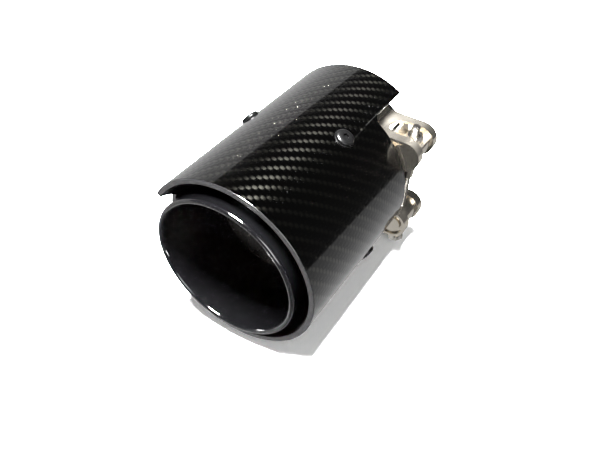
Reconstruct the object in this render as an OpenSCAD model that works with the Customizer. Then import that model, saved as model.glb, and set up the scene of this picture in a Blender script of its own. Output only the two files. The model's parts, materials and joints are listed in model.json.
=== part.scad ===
// Slip-on exhaust muffler tip: a carbon shell around a rolled-lip outlet tube,
// with a slotted inlet sleeve that one band clamp closes on the tail pipe.
// The tube axis lies along Y. The inlet mouth faces +Y with its centre at the
// origin, the outlet faces -Y, and +Z is up. All sizes are in millimetres.

/* [Carbon shell] */
// Outer diameter of the shell
shell_d = 93; // [88:0.5:112]
// Wall of the shell
shell_wall = 2.8; // [2:0.1:3.5]
// Length of the shell from rim to rim
shell_len = 121; // [110:1:160]
// Chamfer on the shell's rims
shell_chamfer = 0.5; // [0.2:0.1:0.8]
// Middle of the opening in the front rim, in degrees from +X towards +Z
opening_angle = 194; // [185:1:200]
// Width of the opening at the front rim, in degrees
opening_width = 96; // [60:1:100]
// Depth of the opening from the front rim
opening_depth = 15; // [8:0.5:20]
// How far the plane of each side faces away from the middle of the opening, in degrees
side_turn = 21; // [10:1:30]
// Lean of the side planes towards the mouth, in degrees
side_lean = 37.5; // [25:0.5:50]
// Depth of the clamp notch from the rear rim
notch_depth = 30; // [30:1:44]
// Half width of the clamp notch, in degrees each side of the clamp
notch_half = 59.5; // [56:0.5:61]
// Corner radius at the bottom of the notch
notch_corner = 4.5; // [2:0.5:6]

/* [Outlet tube] */
// Outer diameter of the tube
tube_d = 76.2; // [74:0.1:80]
// Wall of the tube
tube_wall = 1.5; // [1.2:0.1:2]
// How far the rolled lip stands ahead of the shell
lip_ahead = 4.5; // [1:0.5:8]
// Diameter of the roll of metal at the lip
lip_roll_d = 2.6; // [2.4:0.1:4]
// How far the roll stands out of the tube's side
lip_out = 0.4; // [0.2:0.1:0.8]
// Gap between the tube and the straight rear part of the liner
liner_gap = 3.4; // [2:0.1:6]
// Wall of the liner
liner_wall = 1.2; // [1:0.1:1.5]
// Length of the liner's cone behind the lip
liner_cone_len = 42; // [25:1:46]

/* [Inlet sleeve] */
// Bore of the inlet sleeve
inlet_d = 70; // [68:0.1:71]
// Wall of the sleeve
sleeve_wall = 1.5; // [1.2:0.1:1.7]
// Length of the sleeve
sleeve_len = 54; // [50:1:62]
// How far the sleeve's mouth sits inside the shell's rear rim
rear_inset = 0.5; // [0:0.5:3]
// How much of the sleeve lies inside the tube
tube_overlap = 12; // [8:1:16]
// Length of the cone that brings the sleeve to the tube's bore
sleeve_cone_len = 4.6; // [3:0.1:5]
// Number of slots that let the sleeve close
slot_count = 4; // [2:1:6]
// Width of a slot
slot_w = 3; // [2:0.5:4]
// Length of a slot from the mouth
slot_len = 34; // [32:1:36]
// Angle of the first slot from the clamp's screw side, in degrees
slot_angle = 45; // [30:1:60]
// Height of the weld bead between the tube and the sleeve
weld_h = 1.4; // [0.8:0.1:1.5]
// Thickness of the ring that the tail pipe stops against
stop_ring_t = 3; // [2:0.5:4]

/* [Brackets and shell screws] */
// Distance of the brackets from the inlet mouth
bracket_pos = 55; // [54:1:66]
// Angle between the opening's edges and the screws beside them, in degrees
screw_margin = 12; // [8:0.5:12]
// Angle of the other two screws from the middle of the opening, in degrees
screw_far = 133; // [128:1:138]
// Width of a bracket around the tube
bracket_w = 14; // [12:1:16]
// Length of a bracket's raised part
bracket_top_len = 15; // [13:1:16]
// Length of each bracket foot
bracket_foot_len = 5; // [3:1:5]
// Thickness of the bracket strip
bracket_t = 1.5; // [1:0.1:1.6]
// Thread diameter of the shell screws
screw_d = 5; // [4:0.5:5]
// Length of the shell screws under the head
screw_len = 7.6; // [7:0.1:7.6]
// Diameter of the low round screw head
screw_head_d = 9.5; // [8:0.5:10]
// Height of the screw head
screw_head_h = 1.7; // [1.5:0.1:2.5]
// Width across the flats of the key socket
screw_socket_af = 3; // [2.5:0.5:4]
// Outer diameter of the washer under a screw head
washer_d = 10.4; // [10:0.1:12]
// Thickness of the washer
washer_t = 0.5; // [0.4:0.1:1]
// Width across the flats of the weld nut
weld_nut_af = 8; // [7:0.5:9]
// Thickness of the weld nut
weld_nut_t = 2.7; // [2:0.1:2.8]

/* [Band clamp] */
// Direction of the clamp's closure, in degrees from +X towards +Z
clamp_angle = -2.5; // [-6:0.5:2]
// Width of the band
band_w = 23.5; // [20:0.5:24]
// Thickness of the band
band_t = 1.5; // [1:0.1:1.6]
// Distance of the band's rear edge from the inlet mouth
band_inset = 4.7; // [4:0.1:6]
// Distance of each barrel from the middle plane of the closure
barrel_offset = 23; // [22:0.5:24]
// Distance of the bolt from the tube axis
bolt_reach = 41.3; // [41:0.1:43]
// Diameter of the barrels
barrel_d = 14; // [13:0.5:14.4]
// Radius of the bend where the band turns out into an ear
ear_bend = 4; // [3:0.5:5]
// Angle at which the loop turns back to its ear, in degrees
loop_end = 197; // [194:1:225]
// Width of the window in each loop
window_w = 12.5; // [11:0.5:13]
// Distance of the window's closed end from the tube axis
window_start = 27.5; // [26:0.5:29]

/* [Clamp bolt] */
// Thread diameter of the clamp bolt
bolt_d = 5; // [4.5:0.5:5]
// Length of the clamp bolt under the head
bolt_len = 74; // [70:1:76]
// Width across the flats of the bolt head and the nut
bolt_af = 8; // [8:0.5:9]
// Height of the bolt head
bolt_head_h = 3.5; // [3:0.5:4]
// Height of the clamp nut
nut_h = 4; // [3:0.5:5]
// Diameter of the spacer under the bolt head
spacer_d = 8.6; // [8:0.1:10]
// Length of the spacer
spacer_len = 12; // [11:0.5:14]
// Depth of the flats on the barrels, measured from the barrel's middle
barrel_flat = 3.5; // [3:0.5:5]
// Diameter of the stub on the ends of the lower barrel
stub_d = 10.4; // [8:0.1:11]
// Length of that stub
stub_len = 1.6; // [1:0.1:2.5]
// Diameter of the upper barrel's collar where it leaves the barrel
collar_d1 = 9; // [8:0.5:10]
// Diameter of the collar at its tip
collar_d2 = 6.4; // [6.2:0.1:7.5]
// Length of the collar below the barrel's middle
collar_len = 19; // [12:1:20]

/* [Fits] */
// Radial clearance of the turning fits
run_fit = 0.08; // [0.03:0.01:0.1]
// Clearance of the screw shanks in their holes
hole_fit = 0.25; // [0.1:0.05:0.5]
// Gap between seated faces of pieces on one body
seat_gap = 0.02; // [0.01:0.01:0.1]

/* [Hidden] */
$fn = 96;
eps = 0.01;
cut = 1;
far = 200;
shell_r = shell_d / 2;
shell_in = shell_r - shell_wall;
tube_r = tube_d / 2;
tube_in = tube_r - tube_wall;
inlet_r = inlet_d / 2;
sleeve_r = inlet_r + sleeve_wall;
// Outer radius of what is fitted into the tube
fit_r = tube_in - seat_gap;
liner_r = tube_in - liner_gap - liner_wall;
band_in = sleeve_r + run_fit;
band_r = band_in + band_t;
barrel_r = barrel_d / 2;
loop_in = barrel_r + seat_gap;
loop_r = loop_in + band_t;
bolt_r = bolt_d / 2;
// Places along the axis, measured from the inlet mouth towards the outlet
shell_rear = -rear_inset;
shell_front = shell_rear + shell_len;
lip_front = shell_front + lip_ahead;
lip_mid = lip_front - lip_roll_d / 2;
lip_mid_r = tube_r + lip_out - lip_roll_d / 2;
tube_rear = sleeve_len - tube_overlap;
cone_end = tube_rear - weld_h;
cone_start = cone_end - sleeve_cone_len;
notch_end = shell_rear + notch_depth;
// Angle at which the arc of a notch corner meets the notch's flats, in degrees
corner_cross = 8;
liner_front = lip_mid;
liner_bend = liner_front - liner_cone_len;
liner_rear = sleeve_len + seat_gap;
clamp_mid = band_inset + band_w / 2;
// Shell screws: two on each side of the plane through the shell's opening
screw_near = opening_width / 2 + screw_margin;
screw_angles = [for (a = [-screw_near, -screw_far, screw_far, screw_near]) opening_angle + a];
washer_seat = sqrt(shell_r * shell_r - pow(washer_d / 2, 2)) - seat_gap;
bracket_out = shell_in - seat_gap;
bracket_in = bracket_out - bracket_t;
// Ears: flat strips at right angles to the bolt, tangent to the loops
ear_out = barrel_offset + loop_r;
ear_in = ear_out - band_t;
bend_y = ear_out + ear_bend;
bend_x = sqrt(pow(band_r + ear_bend, 2) - bend_y * bend_y);
bend_angle = atan2(bend_y, bend_x);
// How far the round band runs into its end bends, in degrees
bend_lap = 0.4;
// How far a bend or a loop runs into the flat beside it, in degrees
flat_lap = 6;
// How deep the leaf's edge is welded into its ear
leaf_weld = band_t / 3;
// Places along the bolt, from the middle plane of the closure
nut_seat = barrel_offset + barrel_flat + seat_gap;
spacer_top = -barrel_offset - barrel_flat - seat_gap;
head_top = spacer_top - spacer_len - seat_gap;
barrel_len = band_w - 2 * seat_gap;

// Places a shape drawn around Z, with Z as the distance from the inlet mouth
module on_axis() { rotate([90, 0, 0]) children(); }

// Places a shape drawn at +X, with Z pointing away from the axis, at a shell screw
module at_screw(i) {
    on_axis() rotate([0, 0, screw_angles[i]]) translate([0, 0, bracket_pos]) rotate([0, 90, 0]) children();
}

// Places a shape drawn around Z on the line of the clamp bolt, with Z up along it
module on_bolt() {
    on_axis() rotate([0, 0, clamp_angle]) translate([bolt_reach, 0, clamp_mid]) rotate([-90, 0, 0]) children();
}

module pipe(r_out, r_in, z0, z1) {
    translate([0, 0, z0]) difference() {
        cylinder(r = r_out, h = z1 - z0);
        translate([0, 0, -cut]) cylinder(r = r_in, h = z1 - z0 + 2 * cut);
    }
}

// A pie slice of the given half angle around +X
module slice(half, r) {
    polygon([[0, 0], [r * cos(half), -r * sin(half)], [r / cos(half / 2), -r * tan(half / 2)],
        [r / cos(half / 2), r * tan(half / 2)], [r * cos(half), r * sin(half)]]);
}

module chamfered_wall(r_in, r_out, z0, z1, c) {
    rotate_extrude() polygon([[r_in + c, z0], [r_out - c, z0], [r_out, z0 + c], [r_out, z1 - c],
        [r_out - c, z1], [r_in + c, z1], [r_in, z1 - c], [r_in, z0 + c]]);
}

// What stays of the wall in a corner of the notch; its arc crosses both flats at a small angle
module notch_corner_block() {
    centre = notch_corner * cos(corner_cross);
    translate([-centre, notch_end - centre]) difference() {
        square(centre + cut);
        circle(r = notch_corner);
    }
}

// The notch that leaves room for the clamp, with round corners at its bottom
module notch_cut() {
    rotate([0, 0, clamp_angle]) difference() {
        translate([0, 0, shell_rear - cut]) linear_extrude(notch_depth + cut) slice(notch_half, far);
        for (s = [0, 1]) mirror([0, s, 0]) rotate([0, 0, notch_half]) translate([tube_r, 0, 0])
            rotate([90, 0, 90]) linear_extrude(far) notch_corner_block();
    }
}

// Everything beyond the plane that makes one side of the opening
module beyond_side() {
    rim_angle = opening_width / 2 + side_turn;
    reach = shell_r * cos(rim_angle) * cos(side_lean) + shell_front * sin(side_lean);
    rotate([0, -side_lean, side_turn]) translate([reach, -far, -far]) cube(2 * far);
}

// The opening in the front rim: two slanted sides and a flat bottom
module opening_cut() {
    rotate([0, 0, opening_angle]) intersection() {
        beyond_side();
        mirror([0, 1, 0]) beyond_side();
        translate([-far, -far, shell_front - opening_depth]) cube(2 * far);
    }
}

module screw_seats() {
    for (i = [0 : 3]) at_screw(i) {
        translate([0, 0, tube_r]) cylinder(r = screw_d / 2 + hole_fit, h = shell_d / 2);
        translate([0, 0, washer_seat]) cylinder(d = washer_d + 2 * hole_fit, h = shell_d / 2);
    }
}

module carbon_shell() {
    color("#202124") difference() {
        on_axis() difference() {
            chamfered_wall(shell_in, shell_r, shell_rear, shell_front, shell_chamfer);
            opening_cut();
            notch_cut();
        }
        screw_seats();
    }
}

module outlet_tube() {
    color("#0c0c0e") on_axis() rotate_extrude() {
        translate([tube_in, tube_rear]) square([tube_wall, lip_mid - tube_rear]);
        translate([lip_mid_r, lip_mid]) circle(d = lip_roll_d);
    }
}

// The liner: a cone from the lip's inner edge to a straight pipe
module outlet_liner() {
    lip_inner = lip_mid_r - lip_roll_d / 2 - seat_gap;
    color("#0a0a0b") on_axis() rotate_extrude() polygon([
        [liner_r, liner_rear], [liner_r + liner_wall, liner_rear],
        [liner_r + liner_wall, liner_bend], [lip_inner, liner_front],
        [lip_inner - liner_wall, liner_front], [liner_r, liner_bend]]);
}

module stop_ring() {
    color("#151517") on_axis()
        pipe(fit_r, liner_r + liner_wall + seat_gap, liner_rear, liner_rear + stop_ring_t);
}

// A slotted pipe for the clamp, then a short cone to the end that is fitted into the tube
module inlet_sleeve() {
    sleeve_out = sleeve_r - seat_gap;
    color("#8f9092") on_axis() difference() {
        rotate_extrude() polygon([[inlet_r, 0], [sleeve_out, 0], [sleeve_out, cone_start],
            [fit_r, cone_end], [fit_r, sleeve_len], [fit_r - sleeve_wall, sleeve_len],
            [fit_r - sleeve_wall, cone_end], [inlet_r, cone_start]]);
        for (i = [0 : slot_count - 1])
            rotate([0, 0, clamp_angle + slot_angle + i * 360 / slot_count]) {
                translate([inlet_r - 2, -slot_w / 2, -cut]) cube([sleeve_wall + 4, slot_w, slot_len + cut]);
                translate([inlet_r - 2, 0, slot_len]) rotate([0, 90, 0])
                    cylinder(d = slot_w, h = sleeve_wall + 4);
            }
    }
}

module weld_bead() {
    color("#5e5a55") on_axis() rotate_extrude() polygon([
        [tube_in, tube_rear - seat_gap], [fit_r + weld_h, tube_rear - seat_gap],
        [fit_r + weld_h * 0.75, tube_rear - weld_h * 0.75], [tube_in, tube_rear - weld_h]]);
}

// A slab of a round wall, cut to a width and to a stretch along the axis
module wall_patch(r_in, r_out, w, z0, z1) {
    intersection() {
        pipe(r_out, r_in, z0, z1);
        translate([0, -w / 2, z0 - cut]) cube([far, w, z1 - z0 + 2 * cut]);
    }
}

// A hat-shaped strip: two feet on the tube and a raised part against the shell
module bracket(i) {
    half = bracket_top_len / 2;
    end = half + bracket_foot_len;
    color("#2b2b2d") difference() {
        on_axis() rotate([0, 0, screw_angles[i]]) translate([0, 0, bracket_pos]) {
            wall_patch(bracket_in, bracket_out, bracket_w, -half, half);
            for (s = [-1, 1]) {
                wall_patch(tube_r + seat_gap, tube_r + bracket_t, bracket_w,
                    s < 0 ? -end : half - bracket_t, s < 0 ? bracket_t - half : end);
                wall_patch(tube_r + seat_gap, bracket_out, bracket_w,
                    s < 0 ? -half : half - bracket_t, s < 0 ? bracket_t - half : half);
            }
        }
        at_screw(i) translate([0, 0, tube_r + bracket_t]) cylinder(r = screw_d / 2 + hole_fit, h = far);
    }
}

// Top face of a weld nut: the highest flat that fits under the curved bracket
function weld_nut_top() =
    sqrt(bracket_in * bracket_in - pow(weld_nut_af / sqrt(3), 2)) - seat_gap;

module weld_nut(i) {
    color("#77787a") at_screw(i) translate([0, 0, weld_nut_top() - weld_nut_t]) difference() {
        cylinder(r = weld_nut_af / sqrt(3), h = weld_nut_t, $fn = 6);
        translate([0, 0, -cut]) cylinder(r = screw_d / 2 + seat_gap, h = weld_nut_t + 2 * cut);
    }
}

module shell_washer(i) {
    color("#101012") at_screw(i) translate([0, 0, washer_seat + seat_gap]) difference() {
        cylinder(d = washer_d, h = washer_t);
        translate([0, 0, -cut]) cylinder(r = screw_d / 2 + hole_fit, h = washer_t + 2 * cut);
    }
}

// A low round-headed screw with a hexagon key socket
module shell_screw(i) {
    under = washer_seat + washer_t + 2 * seat_gap;
    color("#0e0e10") at_screw(i) difference() {
        union() {
            translate([0, 0, under - screw_len]) cylinder(d = screw_d, h = screw_len + eps);
            translate([0, 0, under]) cylinder(d = screw_head_d, h = screw_head_h / 2);
            translate([0, 0, under + screw_head_h / 2])
                cylinder(d1 = screw_head_d, d2 = screw_head_d * 0.62, h = screw_head_h / 2);
        }
        translate([0, 0, under + screw_head_h * 0.35])
            cylinder(r = screw_socket_af / sqrt(3), h = screw_head_h, $fn = 6);
    }
}

// One end of the band: bend, flat ear, loop around the barrel and the turned-back leaf.
// The flats are a hair thinner than the bends, so every face crosses the next one cleanly.
module band_end() {
    flat_t = band_t - 2 * eps;
    translate([bend_x, bend_y]) difference() {
        circle(r = ear_bend + band_t);
        circle(r = ear_bend);
        rotate(flat_lap) translate([0, -far / 2]) square([far, far]);
        rotate(180 + bend_angle) translate([-far, -far]) square([2 * far, far]);
    }
    translate([bend_x, ear_in + eps]) square([bolt_reach - bend_x, flat_t]);
    translate([bolt_reach, barrel_offset]) {
        difference() {
            circle(r = loop_r);
            circle(r = loop_in);
            polygon([[0, 0], [-far * sin(flat_lap), far], [-far, far],
                [far * cos(loop_end - flat_lap), far * sin(loop_end - flat_lap)]]);
        }
        rotate(loop_end) translate([loop_in + eps, -leaf_len()]) square([flat_t, leaf_len()]);
    }
}

// Length of the turned-back leaf, from the loop until its edge is welded into the ear
function leaf_len() =
    (ear_in + leaf_weld - barrel_offset + loop_r * abs(sin(loop_end))) / abs(cos(loop_end));

// Openings in a loop for the bolt: a round-ended window in the ear, and the loop below it
module window_cut() {
    mid = window_w / 2;
    translate([window_start + mid, ear_in - cut - eps, 0]) {
        rotate([-90, 0, 0]) cylinder(r = mid, h = band_t + 2 * cut);
        translate([0, 0, -mid]) cube([far, band_t + 2 * cut, window_w]);
    }
    translate([bolt_reach - collar_d1 / 2 - cut, 0, -mid])
        cube([far, ear_in + eps, window_w]);
}

module clamp_band() {
    color("#c9c3b6") on_axis() rotate([0, 0, clamp_angle]) difference() {
        translate([0, 0, band_inset]) linear_extrude(band_w) {
            difference() {
                circle(r = band_r);
                circle(r = band_in);
                slice(bend_angle - bend_lap, far);
            }
            band_end();
            mirror([0, 1]) band_end();
        }
        translate([0, 0, clamp_mid]) {
            window_cut();
            mirror([0, 1, 0]) window_cut();
        }
    }
}

// Upper barrel: seats the nut on a flat and guides the bolt in a tapered collar
module barrel_upper() {
    color("#8c8a86") on_bolt() difference() {
        union() {
            translate([0, 0, barrel_offset]) rotate([90, 0, 0])
                cylinder(r = barrel_r, h = barrel_len, center = true);
            translate([0, 0, barrel_offset - collar_len])
                cylinder(d1 = collar_d2, d2 = collar_d1, h = collar_len);
        }
        translate([0, 0, -far / 2]) cylinder(r = bolt_r + run_fit, h = far);
        translate([-far / 2, -window_w / 2, barrel_offset + barrel_flat]) cube([far, window_w, far]);
    }
}

// Lower barrel: seats the spacer on a flat, with a stub on each end
module barrel_lower() {
    color("#8c8a86") on_bolt() difference() {
        translate([0, 0, -barrel_offset]) rotate([90, 0, 0]) union() {
            cylinder(r = barrel_r, h = barrel_len - 2 * stub_len, center = true);
            cylinder(d = stub_d, h = barrel_len, center = true);
        }
        translate([0, 0, -far / 2]) cylinder(r = bolt_r + run_fit, h = far);
        translate([-far / 2, -window_w / 2, -barrel_offset - barrel_flat - far]) cube([far, window_w, far]);
    }
}

module clamp_nut() {
    color("#d8d2c4") on_bolt() translate([0, 0, nut_seat]) difference() {
        cylinder(r = bolt_af / sqrt(3), h = nut_h, $fn = 6);
        translate([0, 0, -cut]) cylinder(r = bolt_r + run_fit, h = nut_h + 2 * cut);
    }
}

module bolt_spacer() {
    chamfer = 0.6;
    color("#cfcdc8") on_bolt() translate([0, 0, spacer_top - spacer_len]) difference() {
        union() {
            cylinder(d1 = spacer_d - 2 * chamfer, d2 = spacer_d, h = chamfer);
            translate([0, 0, chamfer]) cylinder(d = spacer_d, h = spacer_len - chamfer);
        }
        translate([0, 0, -cut]) cylinder(r = bolt_r + run_fit, h = spacer_len + 2 * cut);
    }
}

module clamp_bolt() {
    tip = 0.6;
    color("#d4d2cc") on_bolt() translate([0, 0, head_top]) {
        translate([0, 0, -bolt_head_h]) cylinder(r = bolt_af / sqrt(3), h = bolt_head_h, $fn = 6);
        translate([0, 0, -eps]) cylinder(r = bolt_r, h = bolt_len - tip + eps);
        translate([0, 0, bolt_len - tip]) cylinder(r1 = bolt_r, r2 = bolt_r - tip, h = tip);
    }
}

carbon_shell();
outlet_tube();
outlet_liner();
stop_ring();
inlet_sleeve();
weld_bead();
for (i = [0 : 3]) {
    bracket(i);
    weld_nut(i);
    shell_washer(i);
    shell_screw(i);
}
clamp_band();
barrel_upper();
barrel_lower();
clamp_nut();
bolt_spacer();
clamp_bolt();
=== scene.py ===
# %% [markdown]
# # A carbon exhaust tip and its band clamp
# Every piece below is built in metres in that same frame: the tube runs along Y,
# the inlet mouth is at the origin and faces +Y, and +Z is up.

# %% Load the frame
import json
import math
import bpy
import bmesh
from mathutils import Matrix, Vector


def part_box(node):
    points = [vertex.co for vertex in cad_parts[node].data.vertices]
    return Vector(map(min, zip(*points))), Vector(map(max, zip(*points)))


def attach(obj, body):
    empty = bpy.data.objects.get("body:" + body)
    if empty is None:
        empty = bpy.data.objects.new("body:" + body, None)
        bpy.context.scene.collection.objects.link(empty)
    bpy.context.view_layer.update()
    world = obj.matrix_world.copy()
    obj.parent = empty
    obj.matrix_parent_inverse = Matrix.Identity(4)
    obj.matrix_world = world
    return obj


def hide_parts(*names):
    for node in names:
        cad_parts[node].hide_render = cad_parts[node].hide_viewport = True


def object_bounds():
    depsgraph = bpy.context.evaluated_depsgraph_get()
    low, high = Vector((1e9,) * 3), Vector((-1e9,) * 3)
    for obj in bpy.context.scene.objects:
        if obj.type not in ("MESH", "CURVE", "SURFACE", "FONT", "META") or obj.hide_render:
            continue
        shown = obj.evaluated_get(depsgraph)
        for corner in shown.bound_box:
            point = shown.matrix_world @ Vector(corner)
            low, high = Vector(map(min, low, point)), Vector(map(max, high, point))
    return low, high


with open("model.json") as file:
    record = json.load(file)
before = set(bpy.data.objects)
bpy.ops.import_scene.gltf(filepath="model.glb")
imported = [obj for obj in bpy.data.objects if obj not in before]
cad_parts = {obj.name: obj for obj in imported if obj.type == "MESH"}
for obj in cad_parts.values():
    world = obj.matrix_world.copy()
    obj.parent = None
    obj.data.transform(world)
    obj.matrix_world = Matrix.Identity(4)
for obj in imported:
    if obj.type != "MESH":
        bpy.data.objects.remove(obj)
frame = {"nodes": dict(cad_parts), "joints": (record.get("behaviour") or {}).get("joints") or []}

cad_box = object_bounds()
nodes = frame["nodes"]
MM = 0.001

# %% [markdown]
# ## Sizes
# What two pieces share is read from the CAD boxes, so a piece lands where the CAD
# says. Only small make-up sizes, such as the radius of an edge, are chosen here.

# %% Read the sizes
shell_lo, shell_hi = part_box("carbon_shell")
tube_lo, tube_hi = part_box("outlet_tube")
liner_lo, liner_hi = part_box("outlet_liner")
bead_lo, bead_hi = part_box("weld_bead")

SHELL_R = shell_hi.z
FLOOR_Z = cad_box[0].z
SHELL_WALL = 2.8 * MM
SHELL_FRONT = shell_lo.y
SHELL_REAR = shell_hi.y
# angles are in degrees round the tube, from +X towards +Z
OPENING_MIDDLE, OPENING_HALF, OPENING_DEPTH = 194.0, 48.0, 15 * MM
SIDE_TURN, SIDE_LEAN = 21.0, 37.5
# the notch's middle and half its width, then its depth and its corner radius
NOTCH = (-2.5, 59.5, 30 * MM, 4.5 * MM)
print("shell radius", round(SHELL_R, 5), "from", round(SHELL_FRONT, 4), "to", round(SHELL_REAR, 4))

# %% [markdown]
# ## Helpers for meshes
# A finished piece sits at the origin with its place in its mesh, so its pattern
# never slides. These helpers make such an object from points and faces, and turn a
# profile round the tube's axis, which is how a lathe forms it.

# %% Mesh helpers
def make_piece(name, points, faces, smooth=True):
    mesh = bpy.data.meshes.new(name)
    mesh.from_pydata([tuple(p) for p in points], [], faces)
    bm = bmesh.new()
    bm.from_mesh(mesh)
    bmesh.ops.remove_doubles(bm, verts=bm.verts, dist=1e-7)
    bmesh.ops.recalc_face_normals(bm, faces=bm.faces)
    for face in bm.faces:
        face.smooth = smooth
    bm.to_mesh(mesh)
    bm.free()
    piece = bpy.data.objects.new(name, mesh)
    bpy.context.scene.collection.objects.link(piece)
    return piece


def skin(levels, steps, closed=False):
    """Faces between rings of points; closed also joins the last ring to the first."""
    faces = []
    for level in range(levels if closed else levels - 1):
        above = (level + 1) % levels
        for k in range(steps):
            n = (k + 1) % steps
            faces.append((level * steps + k, level * steps + n, above * steps + n, above * steps + k))
    return faces


def caps(levels, steps):
    """Flat faces on the first and the last ring."""
    return [tuple(range(steps)), tuple((levels - 1) * steps + k for k in range(steps))]


def full_turn(steps):
    return [2 * math.pi * k / steps for k in range(steps)]


def turned(name, profile, steps):
    """Turns a closed profile of (radius, y) points round the tube's axis."""
    points = [(radius * math.cos(angle), y, radius * math.sin(angle))
              for angle in full_turn(steps) for radius, y in profile]
    return make_piece(name, points, skin(steps, len(profile), closed=True))


def sharp_edges(piece, degrees):
    """Marks the creases, so smooth shading stops at them."""
    bm = bmesh.new()
    bm.from_mesh(piece.data)
    limit = math.radians(degrees)
    for edge in bm.edges:
        edge.smooth = not (len(edge.link_faces) == 2 and edge.calc_face_angle(0.0) > limit)
    bm.to_mesh(piece.data)
    bm.free()
    return piece


def arc(centre, radius, start, end, count):
    """Points of (radius, y) along an arc, with both ends."""
    return [(centre[0] + radius * math.cos(math.radians(start + (end - start) * k / count)),
             centre[1] + radius * math.sin(math.radians(start + (end - start) * k / count)))
            for k in range(count + 1)]


print("helpers ready")

# %% [markdown]
# ## Helpers for materials
# Every finish is a small node tree on Object coordinates. A helper keeps the trees
# readable: it adds a node, sets its plain values and links what is passed as a socket.

# %% Material helpers
def new_material(name, **values):
    material = bpy.data.materials.new(name)
    material.use_nodes = True
    shader = material.node_tree.nodes["Principled BSDF"]
    for key, value in values.items():
        shader.inputs[key.replace("_", " ")].default_value = value
    return material, material.node_tree, shader


def add_node(tree, kind, *inputs, **settings):
    node = tree.nodes.new(kind)
    for key, value in settings.items():
        setattr(node, key, value)
    for index, value in enumerate(inputs):
        if isinstance(value, bpy.types.NodeSocket):
            tree.links.new(value, node.inputs[index])
        elif value is not None:
            node.inputs[index].default_value = value
    return node


def math_node(tree, operation, *inputs):
    return add_node(tree, "ShaderNodeMath", *inputs, operation=operation).outputs[0]


def object_xyz(tree):
    coords = add_node(tree, "ShaderNodeTexCoord").outputs["Object"]
    split = add_node(tree, "ShaderNodeSeparateXYZ", coords)
    return coords, split.outputs[0], split.outputs[1], split.outputs[2]


def mix_colour(tree, factor, first, second):
    node = tree.nodes.new("ShaderNodeMix")
    node.data_type = "RGBA"
    # inputs 6 and 7 are the two colours of a mix node
    for index, value in ((0, factor), (6, first), (7, second)):
        socket = node.inputs[index]
        if isinstance(value, bpy.types.NodeSocket):
            tree.links.new(value, socket)
        else:
            socket.default_value = value
    return node.outputs[2]


def noise(tree, vector, scale, detail=2.0):
    node = add_node(tree, "ShaderNodeTexNoise", vector)
    node.inputs["Scale"].default_value = scale
    node.inputs["Detail"].default_value = detail
    return node.outputs[0]


def stretched(tree, coords, scale):
    """The coordinates with a scale of their own on each axis."""
    node = add_node(tree, "ShaderNodeMapping", coords)
    node.inputs["Scale"].default_value = scale
    return node.outputs[0]


def bump_into(tree, shader, height, strength, distance, socket="Normal"):
    node = add_node(tree, "ShaderNodeBump")
    node.inputs["Strength"].default_value = strength
    node.inputs["Distance"].default_value = distance
    tree.links.new(height, node.inputs["Height"])
    tree.links.new(node.outputs[0], shader.inputs[socket])


print("material helpers ready")

# %% [markdown]
# ## Carbon under clear coat
# The cloth is a two-over-two twill: each bundle of fibres, called a tow, goes over two
# and under two, and each row is shifted by one, which draws the slanting rows. An
# image could hold the pattern, but a rule is sharper at any distance: the tow numbers
# round the shell and along it are added, and the sum modulo four says which tow is
# on top. Fibres shine across their length, so the two sets get their own direction.

# %% Carbon weave
TOWS_ROUND = 148
TOW_ALONG = 1.9875 * MM
WEAVE_SHIFT = 5.44 * MM
TOW_RELIEF = 0.07 * MM
# tow heights between which the painted shade of a tow's dive and sides fades out
FULL_SHADE_HEIGHT, NO_SHADE_HEIGHT = 0.42, 0.80
STREAK_LONG, STREAK_FINE = 0.35, 14.0


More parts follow.
